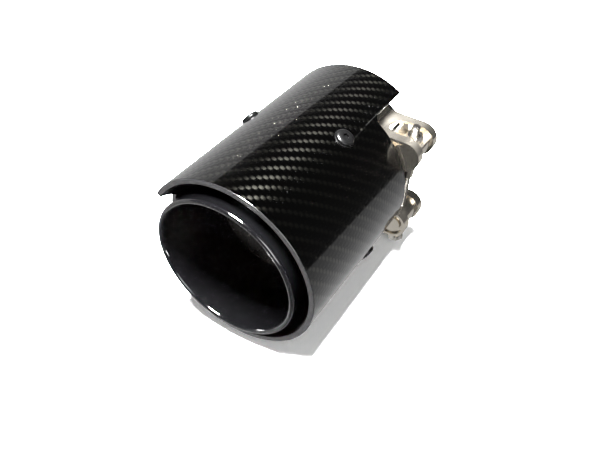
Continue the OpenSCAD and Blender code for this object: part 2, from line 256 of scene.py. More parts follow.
def carbon_material():
    material, tree, shader = new_material(
        "carbon_twill", Metallic=1.0, Roughness=0.17, Anisotropic=0.85,
        Coat_Weight=1.0, Coat_Roughness=0.015, Coat_IOR=1.5)
    coords, x, y, z = object_xyz(tree)
    turn = math_node(tree, "ARCTAN2", z, x)
    around = math_node(tree, "MULTIPLY", turn, TOWS_ROUND / (2 * math.pi))
    along = math_node(tree, "DIVIDE", math_node(tree, "ADD", y, WEAVE_SHIFT), TOW_ALONG)
    cell_u, cell_v = math_node(tree, "FLOOR", around), math_node(tree, "FLOOR", along)
    in_u = math_node(tree, "SUBTRACT", around, cell_u)
    in_v = math_node(tree, "SUBTRACT", along, cell_v)
    phase = math_node(tree, "FLOORED_MODULO", math_node(tree, "ADD", cell_u, cell_v), 4.0)
    weft = math_node(tree, "LESS_THAN", phase, 1.5)

    def float_height(run, across, start):
        """Height of a tow that rises and dives over two cells and is round across."""
        passed = math_node(tree, "ADD", math_node(tree, "SUBTRACT", phase, start), run)
        rise = math_node(tree, "SINE", math_node(tree, "MULTIPLY", passed, math.pi / 2))
        side = math_node(tree, "SINE", math_node(tree, "MULTIPLY", across, math.pi))
        round_side = math_node(tree, "ADD", math_node(tree, "MULTIPLY", side, 0.45), 0.55)
        return math_node(tree, "MULTIPLY", rise, round_side)

    weft_height = float_height(in_u, in_v, 0.0)
    warp_height = float_height(in_v, in_u, 2.0)
    warp = math_node(tree, "SUBTRACT", 1.0, weft)
    height = math_node(tree, "ADD", math_node(tree, "MULTIPLY", weft_height, weft),
                       math_node(tree, "MULTIPLY", warp_height, warp))
    bump_into(tree, shader, height, 1.0, TOW_RELIEF)
    # fine fibre streaks, along each set of tows
    polar = add_node(tree, "ShaderNodeCombineXYZ", around, along, 0.0).outputs[0]
    weft_streak = noise(tree, stretched(tree, polar, (STREAK_LONG, STREAK_FINE, 1.0)), 1.0)
    warp_streak = noise(tree, stretched(tree, polar, (STREAK_FINE, STREAK_LONG, 1.0)), 1.0)
    weft_tone = mix_colour(tree, weft_streak, (0.018, 0.0178, 0.015, 1), (0.070, 0.069, 0.059, 1))
    # painted shade: the warp tows, the same fibre as the weft, get a colour far darker than the
    # weft's
    painted_shade_warp_tone = mix_colour(tree, warp_streak, (0.0010, 0.0010, 0.0012, 1),
                           (0.0030, 0.0030, 0.0035, 1))
    # painted shade: the colour turns near-black where a tow dives and on its sides, so only the crown
    # of a tow shines
    painted_shade_fade = add_node(tree, "ShaderNodeMapRange", height, FULL_SHADE_HEIGHT, NO_SHADE_HEIGHT).outputs[0]
    tone = mix_colour(tree, weft, painted_shade_warp_tone, weft_tone)
    tone = mix_colour(tree, painted_shade_fade, (0.001, 0.001, 0.001, 1), tone)
    tree.links.new(tone, shader.inputs["Base Color"])
    # the gloss spreads across the fibres: along the shell on the weft, round it on the warp
    flat_x = math_node(tree, "MULTIPLY", z, -1.0)
    round_way = add_node(tree, "ShaderNodeCombineXYZ", flat_x, 0.0, x).outputs[0]
    unit = add_node(tree, "ShaderNodeVectorMath", round_way, operation="NORMALIZE").outputs[0]
    tangent = mix_colour(tree, weft, unit, (0.0, 1.0, 0.0, 1.0))
    tree.links.new(tangent, shader.inputs["Tangent"])
    return material


def inner_wall_material():
    """The rough resin face that the mandrel leaves inside the shell."""
    material, tree, shader = new_material("carbon_inner_face", Roughness=0.5)
    coords, *_ = object_xyz(tree)
    resin = noise(tree, coords, 420.0, 4.0)
    tone = mix_colour(tree, resin, (0.0010, 0.0010, 0.0012, 1), (0.003, 0.003, 0.0034, 1))
    tree.links.new(tone, shader.inputs["Base Color"])
    bump_into(tree, shader, resin, 0.2, 0.08 * MM)
    return material


carbon = carbon_material()
inner_wall = inner_wall_material()
print("carbon:", len(carbon.node_tree.nodes), "nodes")

# %% [markdown]
# ## Cut edge of the laminate
# The rims are cut and lacquered: the cut shows the layers of cloth as faint stripes
# through the wall. The stripes follow the distance from the tube's axis.

# %% Cut carbon edge
PLY_THICKNESS = 0.28 * MM


def cut_edge_material():
    material, tree, shader = new_material(
        "carbon_cut_edge", Roughness=0.3, Coat_Weight=1.0, Coat_Roughness=0.06)
    coords, x, y, z = object_xyz(tree)
    flat = add_node(tree, "ShaderNodeCombineXYZ", x, 0.0, z).outputs[0]
    radius = add_node(tree, "ShaderNodeVectorMath", flat, operation="LENGTH").outputs["Value"]
    wave = math_node(tree, "SINE", math_node(tree, "MULTIPLY", radius, 2 * math.pi / PLY_THICKNESS))
    grain = noise(tree, coords, 1800.0)
    stripe = math_node(tree, "ADD", math_node(tree, "MULTIPLY", wave, 0.3), 0.5)
    blend = math_node(tree, "MULTIPLY", stripe, grain)
    tone = mix_colour(tree, blend, (0.0015, 0.0015, 0.0017, 1), (0.008, 0.0082, 0.0088, 1))
    tree.links.new(tone, shader.inputs["Base Color"])
    bump_into(tree, shader, grain, 0.15, 0.05 * MM)
    return material


cut_edge = cut_edge_material()
print("cut edge ready")

# %% [markdown]
# ## Black enamel, steels and the weld
# The tube is enamelled gloss black: very smooth, with the faint waviness that sprayed
# enamel keeps. The clamp is polished stainless with a fine grain, the sleeve is
# brushed round its axis, the small hardware is blackened, and the weld is dull and
# coloured by heat.

# %% Metal finishes
def enamel_material():
    material, tree, shader = new_material(
        "black_enamel", Roughness=0.08,
        Coat_Weight=1.0, Coat_Roughness=0.02)
    coords, *_ = object_xyz(tree)
    bump_into(tree, shader, noise(tree, coords, 260.0, 1.0), 0.05, 0.2 * MM)
    dust = noise(tree, coords, 900.0, 4.0)
    tone = mix_colour(tree, dust, (0.0006, 0.0006, 0.0007, 1), (0.0016, 0.0016, 0.0018, 1))
    tree.links.new(tone, shader.inputs["Base Color"])
    return material


def steel_material(name, dark, light, rough, grain_scale, grain_bump, ring=False):
    """Steel whose grain runs round the tube (ring) or along it."""
    material, tree, shader = new_material(name, Metallic=1.0, Roughness=rough, Anisotropic=0.25)
    coords, *_ = object_xyz(tree)
    scale = (0.12, 1.0, 0.12) if ring else (1.0, 0.15, 1.0)
    grain = noise(tree, stretched(tree, coords, scale), grain_scale, 3.0)
    cloud = noise(tree, coords, 60.0, 3.0)
    blend = math_node(tree, "MULTIPLY", math_node(tree, "ADD", grain, cloud), 0.5)
    tone = mix_colour(tree, blend, dark, light)
    tree.links.new(tone, shader.inputs["Base Color"])
    rough_mix = math_node(tree, "ADD", math_node(tree, "MULTIPLY", cloud, rough * 0.8), rough * 0.6)
    tree.links.new(rough_mix, shader.inputs["Roughness"])
    bump_into(tree, shader, grain, grain_bump, 0.05 * MM)
    return material


def blackened_material():
    material, tree, shader = new_material("black_oxide", Metallic=0.7, Roughness=0.28)
    coords, *_ = object_xyz(tree)
    spots = noise(tree, coords, 700.0, 4.0)
    tone = mix_colour(tree, spots, (0.0010, 0.0010, 0.0012, 1), (0.005, 0.005, 0.005, 1))
    tree.links.new(tone, shader.inputs["Base Color"])
    bump_into(tree, shader, spots, 0.12, 0.04 * MM)
    return material


def weld_material():
    material, tree, shader = new_material("weld_metal", Metallic=1.0, Roughness=0.38)
    coords, *_ = object_xyz(tree)
    heat = noise(tree, coords, 90.0, 3.0)
    tone = mix_colour(tree, heat, (0.16, 0.12, 0.10, 1), (0.55, 0.50, 0.42, 1))
    tree.links.new(tone, shader.inputs["Base Color"])
    bump_into(tree, shader, noise(tree, coords, 1500.0, 3.0), 0.3, 0.05 * MM)
    return material


enamel = enamel_material()
clamp_steel = steel_material(
    "polished_stainless", dark=(0.66, 0.60, 0.50, 1), light=(0.92, 0.87, 0.78, 1),
    rough=0.24, grain_scale=1400.0, grain_bump=0.08)
fastener_steel = steel_material(
    "bright_fastener", dark=(0.55, 0.52, 0.47, 1), light=(0.86, 0.83, 0.77, 1),
    rough=0.16, grain_scale=2200.0, grain_bump=0.06)
sleeve_steel = steel_material(
    "brushed_stainless", dark=(0.38, 0.37, 0.35, 1), light=(0.66, 0.64, 0.61, 1),
    rough=0.27, grain_scale=2600.0, grain_bump=0.25, ring=True)
bracket_black = blackened_material()
weld_metal = weld_material()
print("finishes:", [m.name for m in bpy.data.materials if m.users or m.use_nodes])

# %% [markdown]
# ## The carbon shell
# On the real object the shell is moulded round a mandrel, then its mouth is cut open
# on one side, its rear is notched for the clamp, and it is lacquered. A boolean would
# leave a rough rim, so the wall is laid out as columns round the tube. Each column
# runs from its place on the front rim to its place on the rear rim. The wall is then
# given its thickness inwards, and its rims are rounded.

# %% Lay out and wrap the shell
COLUMN_STEP = 1.5
ROUND_STEPS = 10
SHELL_ROWS = (60 * MM, 90 * MM)
RIM_ROUND = 0.45 * MM


def opening_at(angle):
    """How far the opening reaches back from the front rim at this angle."""
    off = abs(angle - OPENING_MIDDLE)
    if off >= OPENING_HALF:
        return 0.0
    here, rim_corner = math.radians(off + SIDE_TURN), math.radians(OPENING_HALF + SIDE_TURN)
    reach = SHELL_R * (math.cos(here) - math.cos(rim_corner))
    return min(OPENING_DEPTH, reach / math.tan(math.radians(SIDE_LEAN)))


def angles_between(start, end):
    count = max(1, round(abs(end - start) / COLUMN_STEP))
    return [start + (end - start) * k / count for k in range(count + 1)]


def shell_columns():
    """(angle, rear edge, front edge) for each column, edges as distances from the rims."""
    middle, half, depth, corner = NOTCH
    corner_deg = math.degrees(corner / SHELL_R)
    left, right = middle - half, middle + half
    open_start, open_end = OPENING_MIDDLE - OPENING_HALF, OPENING_MIDDLE + OPENING_HALF
    turns = [math.pi / 2 * k / ROUND_STEPS for k in range(ROUND_STEPS + 1)]
    # how far in from the notch's side, and where the edge lies, along a rounded corner
    rounded = [(corner_deg * (1 - math.cos(t)), depth - corner * (1 - math.sin(t))) for t in turns]
    rears = [(left + inwards, rear) for inwards, rear in rounded]
    rears += [(a, depth) for a in angles_between(left + corner_deg, right - corner_deg)[1:-1]]
    rears += [(right - inwards, rear) for inwards, rear in reversed(rounded)]
    columns = [(a, 0.0, 0.0) for a in angles_between(open_end - 360, left)]
    columns += [(a, rear, 0.0) for a, rear in rears]
    columns += [(a, 0.0, 0.0) for a in angles_between(right, open_start)]
    return columns + [(a, 0.0, opening_at(a)) for a in angles_between(open_start, open_end)]


def build_shell():
    """The wall, with material 0 outside, 1 on its rims and 2 inside."""
    _, _, depth, corner = NOTCH
    shared = depth - corner
    length = SHELL_REAR - SHELL_FRONT
    bm = bmesh.new()
    known = {}

    def corner_at(angle, distance, radius):
        key = (round(angle % 360, 6), round(distance, 8), round(radius, 6))
        if key not in known:
            a = math.radians(angle)
            place = (radius * math.cos(a), SHELL_REAR - distance, radius * math.sin(a))
            known[key] = bm.verts.new(place)
        return known[key]

    columns = shell_columns()
    for (a0, rear0, front0), (a1, rear1, front1) in zip(columns, columns[1:]):
        if abs(a1 - a0) < 1e-9:
            continue
        plain = rear0 == 0.0 and rear1 == 0.0
        levels = [(0.0, 0.0), (shared, shared)] if plain else [(rear0, rear1)]
        levels += [(row, row) for row in SHELL_ROWS] + [(length - front0, length - front1)]
        for (b0, b1), (t0, t1) in zip(levels, levels[1:]):
            for side, radius in enumerate((SHELL_R, SHELL_R - SHELL_WALL)):
                face = bm.faces.new([corner_at(a0, b0, radius), corner_at(a1, b1, radius),
                                     corner_at(a1, t1, radius), corner_at(a0, t0, radius)])
                face.material_index = 2 * side
    # close the wall: every open edge of the outer skin is joined to the inner one
    outer_key, inner_key = round(SHELL_R, 6), round(SHELL_R - SHELL_WALL, 6)
    inner_of = {vert: known[(angle, distance, inner_key)]
                for (angle, distance, radius), vert in known.items() if radius == outer_key}
    rim = [tuple(e.verts) for e in bm.edges
           if len(e.link_faces) == 1 and all(vert in inner_of for vert in e.verts)]
    for first, second in rim:
        face = bm.faces.new([first, second, inner_of[second], inner_of[first]])
        face.material_index = 1
    bmesh.ops.recalc_face_normals(bm, faces=bm.faces)
    for face in bm.faces:
        face.smooth = True
    mesh = bpy.data.meshes.new("shell_laminate")
    bm.to_mesh(mesh)
    bm.free()
    piece = bpy.data.objects.new("shell_laminate", mesh)
    bpy.context.scene.collection.objects.link(piece)
    return piece


shell = build_shell()
for finish in (carbon, cut_edge, inner_wall):
    shell.data.materials.append(finish)
rounding = shell.modifiers.new("Rounded rims", "BEVEL")
rounding.width = RIM_ROUND
rounding.segments = 3
rounding.limit_method = "ANGLE"
rounding.angle_limit = math.radians(50)
rounding.harden_normals = True
print("shell faces:", len(shell.data.polygons))

# %% [markdown]
# ## Screw holes in the shell
# Each shell screw sits in a shallow round seat. A cutter for each hole is taken out
# of the wall with a Boolean, and the result becomes a plain mesh.

# %% Drill the shell
SCREW_ANGLES = (134.0, 61.0, -33.0, -106.0)
SCREW_Y = -55 * MM
WASHER_R = 5.2 * MM
SEAT_R = 5.45 * MM
HOLE_R = 2.75 * MM


def screw_axis(angle):
    a = math.radians(angle)
    return Vector((math.cos(a), 0.0, math.sin(a)))


def bake(piece):
    """Turns a piece with modifiers into one plain mesh."""
    graph = bpy.context.evaluated_depsgraph_get()
    mesh = bpy.data.meshes.new_from_object(piece.evaluated_get(graph))
    piece.modifiers.clear()
    piece.data = mesh
    return piece


def round_peg(bm, direction, foot, radius, height, steps=48):
    """A peg that points outwards; foot goes from the tube's axis to the peg's foot."""
    side = direction.orthogonal().normalized()
    other = direction.cross(side)
    base = Vector((0.0, SCREW_Y, 0.0)) + foot
    low, high = ([bm.verts.new(base + direction * level + side * (radius * math.cos(angle))
                               + other * (radius * math.sin(angle))) for angle in full_turn(steps)]
                 for level in (0.0, height))
    bm.faces.new(list(reversed(low)))
    bm.faces.new(high)
    for k in range(steps):
        n = (k + 1) % steps
        bm.faces.new([low[k], low[n], high[n], high[k]])


def cutter(name, feet, radius, height):
    """One peg at each screw, as a single object."""
    mesh = bpy.data.meshes.new(name)
    bm = bmesh.new()
    for angle, foot in zip(SCREW_ANGLES, feet):
        round_peg(bm, screw_axis(angle), foot, radius, height)
    bmesh.ops.recalc_face_normals(bm, faces=bm.faces)
    bm.to_mesh(mesh)
    bm.free()
    pegs = bpy.data.objects.new(name, mesh)
    bpy.context.scene.collection.objects.link(pegs)
    pegs.hide_render = True
    return pegs


seat_depth = math.sqrt(SHELL_R ** 2 - WASHER_R ** 2) - 0.02 * MM
seat_feet = [screw_axis(angle) * seat_depth for angle in SCREW_ANGLES]
hole_feet = [screw_axis(angle) * 40 * MM for angle in SCREW_ANGLES]
seats = cutter("seat_cutter", seat_feet, SEAT_R, 6 * MM)
holes = cutter("hole_cutter", hole_feet, HOLE_R, 12 * MM)
for tool in (seats, holes):
    drill = shell.modifiers.new(tool.name, "BOOLEAN")
    drill.object = tool
    drill.operation = "DIFFERENCE"
    drill.solver = "EXACT"
bake(shell)
for tool in (seats, holes):
    bpy.data.objects.remove(tool)
shell_box = [round(c, 4) for c in shell.dimensions]
print("drilled shell:", len(shell.data.polygons), "faces, box", shell_box)

# %% [markdown]
# ## The outlet tube and its liner
# The tube's mouth is rolled over, which stiffens it and gives the round lip. A lathe
# profile is the natural way to draw both: the tube's wall, the roll as a full circle
# that the wall runs into, and behind it the cone that narrows to the inner pipe.

# %% Turn the tube and the liner
LATHE_STEPS = 256
LIP_OUT = 0.4 * MM
TUBE_R = tube_hi.x - LIP_OUT
TUBE_WALL = 1.5 * MM
ROLL_R = 1.3 * MM
EDGE_BREAK = 0.05 * MM
tube_bore = TUBE_R - TUBE_WALL
roll_centre = (tube_hi.x - ROLL_R, tube_lo.y + ROLL_R)
# the roll starts where it meets the wall's outer face and ends at the inner face
roll_start = math.degrees(math.acos((TUBE_R - roll_centre[0]) / ROLL_R))
roll_end = math.degrees(math.acos((tube_bore - roll_centre[0]) / ROLL_R)) - 360
tube_profile = [(TUBE_R - EDGE_BREAK, tube_hi.y), (TUBE_R, tube_hi.y - EDGE_BREAK)]
tube_profile += arc(roll_centre, ROLL_R, roll_start, roll_end, 44)
tube_profile += [(tube_bore, tube_hi.y)]
tube = sharp_edges(turned("tube_rolled_mouth", tube_profile, LATHE_STEPS), 50)

LINER_WALL = 1.2 * MM
PIPE_GAP = 3.4 * MM
CONE_LENGTH = 42 * MM
pipe_out = tube_bore - PIPE_GAP
pipe_in = pipe_out - LINER_WALL
cone_front = roll_centre[0] - ROLL_R - 0.02 * MM
cone_back = liner_lo.y + CONE_LENGTH
# the cone's front edge is thin, so it hides behind the roll; its rear runs softly into the pipe
liner_profile = [
    (pipe_in, liner_hi.y), (pipe_in, cone_back + 2 * MM), (pipe_in + 0.06 * MM, cone_back),
    (pipe_in + 0.25 * MM, cone_back - 3 * MM), (cone_front - 0.12 * MM, liner_lo.y + 0.4 * MM),
    (cone_front - 0.04 * MM, liner_lo.y), (cone_front, liner_lo.y),
    (pipe_out, cone_back), (pipe_out, liner_hi.y)]
liner = sharp_edges(turned("outlet_cone", liner_profile, LATHE_STEPS), 40)
for piece in (tube, liner):
    piece.data.materials.append(enamel)
print("tube", len(tube.data.polygons), "liner", len(liner.data.polygons), "faces")

# %% [markdown]
# ## The weld between tube and sleeve
# A hand-laid bead is a row of overlapping scales. Geometry Nodes suit that: one scale
# is put on many points round a circle and turned to follow it. The tree has named
# inputs for the ring's radius, the number of scales and their size.

# %% Geometry Nodes helpers
def node_group(name, inputs):
    group = bpy.data.node_groups.new(name, "GeometryNodeTree")
    sockets = {}
    for label, kind in inputs:
        socket = group.interface.new_socket(label, in_out="INPUT", socket_type=kind)
        sockets[label] = socket.identifier
    group.interface.new_socket("Geometry", in_out="OUTPUT", socket_type="NodeSocketGeometry")
    return group, group.nodes.new("NodeGroupInput"), group.nodes.new("NodeGroupOutput"), sockets


def geo_node(group, kind, links=None, **settings):
    """Adds a node; a setting is a property of the node, or else the value of an input."""
    node = group.nodes.new(kind)
    values = {}
    for key, value in settings.items():
        if hasattr(node, key):
            setattr(node, key, value)
        else:
            values[key] = value
    for key, value in values.items():
        node.inputs[key.replace("_", " ")].default_value = value
    for key, socket in (links or {}).items():
        group.links.new(socket, node.inputs[key])
    return node


def grow(name, group, sockets, values):
    """Runs a tree on an empty mesh; the result is a plain piece with the tree's material."""
    piece = bpy.data.objects.new(name, bpy.data.meshes.new(name))
    bpy.context.scene.collection.objects.link(piece)
    modifier = piece.modifiers.new("Nodes", "NODES")
    modifier.node_group = group
    for label, value in values.items():
        modifier[sockets[label]] = value
    return bake(piece)


def end_tree(group, outlet, geometry, material):
    real = geo_node(group, "GeometryNodeRealizeInstances", {"Geometry": geometry})
    paint = geo_node(group, "GeometryNodeSetMaterial", {"Geometry": real.outputs[0]})
    paint.inputs["Material"].default_value = material
    smooth = geo_node(group, "GeometryNodeSetShadeSmooth", {"Geometry": paint.outputs[0]})
    group.links.new(smooth.outputs[0], outlet.inputs[0])


print("geometry helpers ready")

# %% Lay the weld bead
SCALE_COUNT = 150
SCALE_SIZE = 0.75 * MM
SCALE_SHAPE = (0.62, 0.95, 1.9)


def weld_tree():
    group, inlet, outlet, sockets = node_group(
        "weld_scales", [("Ring radius", "NodeSocketFloat"), ("Scales", "NodeSocketInt"),
                        ("Scale size", "NodeSocketFloat"), ("Place", "NodeSocketFloat")])
    ring = geo_node(group, "GeometryNodeCurvePrimitiveCircle",
                    {"Radius": inlet.outputs["Ring radius"], "Resolution": inlet.outputs["Scales"]})
    points = geo_node(group, "GeometryNodeCurveToPoints",
                      {"Curve": ring.outputs[0]}, mode="EVALUATED")
    scale = geo_node(group, "GeometryNodeMeshUVSphere",
                     {"Radius": inlet.outputs["Scale size"]}, Segments=12, Rings=8)
    placed = geo_node(group, "GeometryNodeInstanceOnPoints",
                      {"Points": points.outputs["Points"], "Instance": scale.outputs[0],
                       "Rotation": points.outputs["Rotation"]})
    flat = geo_node(group, "GeometryNodeScaleInstances", {"Instances": placed.outputs[0]})
    flat.inputs["Scale"].default_value = SCALE_SHAPE
    upright = geo_node(group, "GeometryNodeTransform", {"Geometry": flat.outputs[0]})
    upright.inputs["Rotation"].default_value = (math.radians(90), 0.0, 0.0)
    offset = geo_node(group, "ShaderNodeCombineXYZ", {"Y": inlet.outputs["Place"]})
    moved = geo_node(group, "GeometryNodeTransform",
                     {"Geometry": upright.outputs[0], "Translation": offset.outputs[0]})
    end_tree(group, outlet, moved.outputs[0], weld_metal)
    return group, sockets


weld_group, weld_sockets = weld_tree()
bead_middle = (bead_lo.y + bead_hi.y) / 2
weld = grow("weld_scales", weld_group, weld_sockets,
            {"Ring radius": tube_bore + 0.35 * MM, "Scales": SCALE_COUNT, "Scale size": SCALE_SIZE,
             "Place": bead_middle})
weld_reach = max(v.co.x for v in weld.data.vertices)
print("weld faces:", len(weld.data.polygons), "radius", round(weld_reach, 5))

# %% [markdown]
# ## Shell screws
# Four low round-headed screws with a hexagon key socket hold the shell. One screw is
# drawn once as a lathe form with a socket pressed into its head, and Geometry Nodes
# set it on four points round the tube, each turned to point outwards.

# %% Draw one screw and one washer
HARDWARE_STEPS = 48
HEAD_R, HEAD_H, SOCKET_R = 4.75 * MM, 1.7 * MM, 3.0 * MM / math.sqrt(3)
SHANK_R, SHANK_LEN = 2.5 * MM, 7.6 * MM
WASHER_T = 0.5 * MM
UNDER = seat_depth + WASHER_T + 0.04 * MM


def socket_radius(angle):
    """Distance from the middle to the side of a hexagon in that direction."""
    sector = (angle + math.pi / 6) % (math.pi / 3) - math.pi / 6
    return SOCKET_R * math.cos(math.pi / 6) / math.cos(sector)


def build_screw():
    """A screw along +X, its head's seat at x = 0."""
    dome = [(HEAD_H * (0.28 + 0.72 * math.sin(t)), HEAD_R * math.cos(t) ** 0.6)
            for t in (0.0, 0.25, 0.5, 0.75, 1.0, 1.2)]
    profile = [(-SHANK_LEN, SHANK_R * 0.82), (-SHANK_LEN + 0.5 * MM, SHANK_R), (0.0, SHANK_R),
               (0.0, HEAD_R - 0.15 * MM), (0.15 * MM, HEAD_R)] + dome
    angles = full_turn(HARDWARE_STEPS)
    rings = [[point] * HARDWARE_STEPS for point in profile]
    # the key socket: a broken edge, then six flat sides down into the head
    top = dome[-1][0]
    for x, edge in ((top + 0.02 * MM, 0.12 * MM), (top - 0.10 * MM, 0.0), (HEAD_H * 0.32, 0.0)):
        rings.append([(x, socket_radius(angle) + edge) for angle in angles])
    points = [(x, r * math.cos(a), r * math.sin(a))
              for ring in rings for (x, r), a in zip(ring, angles)]
    faces = skin(len(rings), HARDWARE_STEPS) + caps(len(rings), HARDWARE_STEPS)
    return sharp_edges(make_piece("screw_model", points, faces), 35)


def build_washer():
    edge = 0.12 * MM
    profile = [(HOLE_R, -WASHER_T), (WASHER_R - edge, -WASHER_T), (WASHER_R, -WASHER_T + edge),
               (WASHER_R, -edge), (WASHER_R - edge, 0.0), (HOLE_R, 0.0)]
    points = [(x, r * math.cos(a), r * math.sin(a))
              for a in full_turn(HARDWARE_STEPS) for r, x in profile]
    faces = skin(HARDWARE_STEPS, len(profile), closed=True)
    return sharp_edges(make_piece("washer_model", points, faces), 35)


screw_model, washer_model = build_screw(), build_washer()
print("screw faces:", len(screw_model.data.polygons))
print("washer faces:", len(washer_model.data.polygons))

# %% Set the screws and washers round the shell
def hardware_tree(name, model):
    """Puts the model on four points; each point's angle is a named input."""
    labels = ["Angle 1", "Angle 2", "Angle 3", "Angle 4"]
    group, inlet, outlet, sockets = node_group(
        name, [(label, "NodeSocketFloat") for label in labels]
        + [("Reach", "NodeSocketFloat"), ("Place", "NodeSocketFloat")])
    source = geo_node(group, "GeometryNodeObjectInfo")
    source.inputs["Object"].default_value = model
    join = geo_node(group, "GeometryNodeJoinGeometry")
    for label in labels:
        reach = geo_node(group, "ShaderNodeCombineXYZ", {"X": inlet.outputs["Reach"]})
        out = geo_node(group, "GeometryNodeTransform",
                       {"Geometry": source.outputs["Geometry"], "Translation": reach.outputs[0]})
        # a turn about +Y takes +X towards -Z, so the angle in degrees is made negative radians
        negative = geo_node(group, "ShaderNodeMath", {0: inlet.outputs[label]},
                            operation="MULTIPLY")
        negative.inputs[1].default_value = -math.pi / 180
        turn = geo_node(group, "ShaderNodeCombineXYZ", {"Y": negative.outputs[0]})
        place = geo_node(group, "ShaderNodeCombineXYZ", {"Y": inlet.outputs["Place"]})
        put = geo_node(group, "GeometryNodeTransform",
                       {"Geometry": out.outputs[0], "Rotation": turn.outputs[0],
                        "Translation": place.outputs[0]})
        group.links.new(put.outputs[0], join.inputs[0])
    end_tree(group, outlet, join.outputs[0], bracket_black)
    return group, sockets


angle_values = {f"Angle {k + 1}": a for k, a in enumerate(SCREW_ANGLES)}
screw_group, screw_sockets = hardware_tree("screw_ring", screw_model)
screws = grow("shell_screws", screw_group, screw_sockets,
              {**angle_values, "Reach": UNDER, "Place": SCREW_Y})
washer_group, washer_sockets = hardware_tree("washer_ring", washer_model)
washers = grow("shell_washers", washer_group, washer_sockets,
               {**angle_values, "Reach": UNDER - 0.02 * MM, "Place": SCREW_Y})
for model in (screw_model, washer_model):
    bpy.data.objects.remove(model)
print("screws:", len(screws.data.polygons), "washers:", len(washers.data.polygons), "faces")

# %% [markdown]
# ## The clamp bolt
# The bolt has a chamfered hexagon head, a plain shank and a cut thread. A thread is a
# ridge that climbs as it goes round, so Geometry Nodes sweep a small triangle along a
# spiral. The pitch, length and radius are named inputs.

# %% Build the bolt
bolt_joint = next(j for j in frame["joints"] if j["name"] == "bolt_turn")
DOWN = Vector(bolt_joint["axis"]).normalized()
UP = -DOWN
MIDDLE = Vector(bolt_joint["pos_m"])
SIDE = Vector((0.0, 1.0, 0.0))
BOLT_R, BOLT_AF, BOLT_HEAD = 2.5 * MM, 8.0 * MM, 3.5 * MM
PITCH = 0.8 * MM
bolt_corners = [v.co for v in nodes["clamp_bolt"].data.vertices]
bolt_low = min((c - MIDDLE).dot(UP) for c in bolt_corners)
bolt_high = max((c - MIDDLE).dot(UP) for c in bolt_corners)
HEAD_TOP = bolt_low + BOLT_HEAD
print("bolt from", round(bolt_low, 5), "to", round(bolt_high, 5), "along its axis")


def hex_ring(height, across, round_r, steps=72):
    """A ring that is the smaller of a hexagon and a circle in each direction."""
    ring = []
    for a in full_turn(steps):
        sector = a % (math.pi / 3) - math.pi / 6
        ring.append((height, min(across / 2 / math.cos(sector), round_r), a))
    return ring


def along_bolt(name, rings, holed=False):
    """Skins rings of (height, radius, angle) round the bolt's line; holed leaves a bore."""
    across = SIDE.cross(UP)
    points = [MIDDLE + UP * h + (across * math.cos(a) + SIDE * math.sin(a)) * r
              for ring in rings for h, r, a in ring]
    levels, steps = len(rings), len(rings[0])
    faces = skin(levels, steps, closed=holed)
    if not holed:
        faces += caps(levels, steps)
    return sharp_edges(make_piece(name, points, faces), 32)


def plain_ring(height, radius):
    """A round ring: its hexagon is a metre wide, so the circle is always the smaller one."""
    return hex_ring(height, 1.0, radius)


CORNER_R = BOLT_AF / math.sqrt(3)
FLAT_R = BOLT_AF / 2
ROOT_R = BOLT_R - 0.42 * MM
PLAIN_SHANK = 22 * MM
thread_start = HEAD_TOP + PLAIN_SHANK
head_rings = [
    plain_ring(bolt_low, FLAT_R - 0.35 * MM),
    hex_ring(bolt_low + 0.03 * MM, BOLT_AF, FLAT_R - 0.1 * MM),
    hex_ring(bolt_low + 0.45 * MM, BOLT_AF, CORNER_R),
    hex_ring(HEAD_TOP - 0.35 * MM, BOLT_AF, CORNER_R),
    hex_ring(HEAD_TOP - 0.05 * MM, BOLT_AF, FLAT_R + 0.02 * MM),
    plain_ring(HEAD_TOP, FLAT_R - 0.1 * MM)]
shank_rings = [
    plain_ring(HEAD_TOP, BOLT_R + 0.02 * MM),
    plain_ring(HEAD_TOP + 0.2 * MM, BOLT_R - 0.02 * MM),
    plain_ring(thread_start, BOLT_R - 0.02 * MM),
    plain_ring(thread_start + 0.5 * MM, ROOT_R),
    plain_ring(bolt_high - 0.5 * MM, ROOT_R),
    plain_ring(bolt_high, ROOT_R - 0.45 * MM)]
bolt_body = along_bolt("clamp_bolt_threaded", head_rings + shank_rings)
print("bolt faces:", len(bolt_body.data.polygons))

# %% Cut the thread
RIDGE_R = 0.40 * MM
STEPS_PER_TURN = 28


def thread_tree():
    group, inlet, outlet, sockets = node_group(
        "rolled_thread", [("Pitch", "NodeSocketFloat"), ("Turns", "NodeSocketFloat"),
                          ("Root radius", "NodeSocketFloat"), ("Base", "NodeSocketVector"),
                          ("Lean", "NodeSocketVector")])
    turns, root = inlet.outputs["Turns"], inlet.outputs["Root radius"]
    height = geo_node(group, "ShaderNodeMath", {0: inlet.outputs["Pitch"], 1: turns},
                      operation="MULTIPLY")
    spiral = geo_node(group, "GeometryNodeCurveSpiral",
                      {"Rotations": turns, "Start Radius": root, "End Radius": root,
                       "Height": height.outputs[0]}, Resolution=STEPS_PER_TURN)
    upright = geo_node(group, "GeometryNodeSetCurveNormal",
                       {"Curve": spiral.outputs[0]}, mode="Z_UP")
    ridge = geo_node(group, "GeometryNodeCurvePrimitiveCircle", Resolution=3)
    ridge.inputs["Radius"].default_value = RIDGE_R
    sweep = geo_node(group, "GeometryNodeCurveToMesh",
                     {"Curve": upright.outputs[0], "Profile Curve": ridge.outputs[0]})
    sweep.inputs["Fill Caps"].default_value = True
    placed = geo_node(group, "GeometryNodeTransform",
                      {"Geometry": sweep.outputs[0], "Translation": inlet.outputs["Base"],
                       "Rotation": inlet.outputs["Lean"]})
    end_tree(group, outlet, placed.outputs[0], fastener_steel)
    return group, sockets


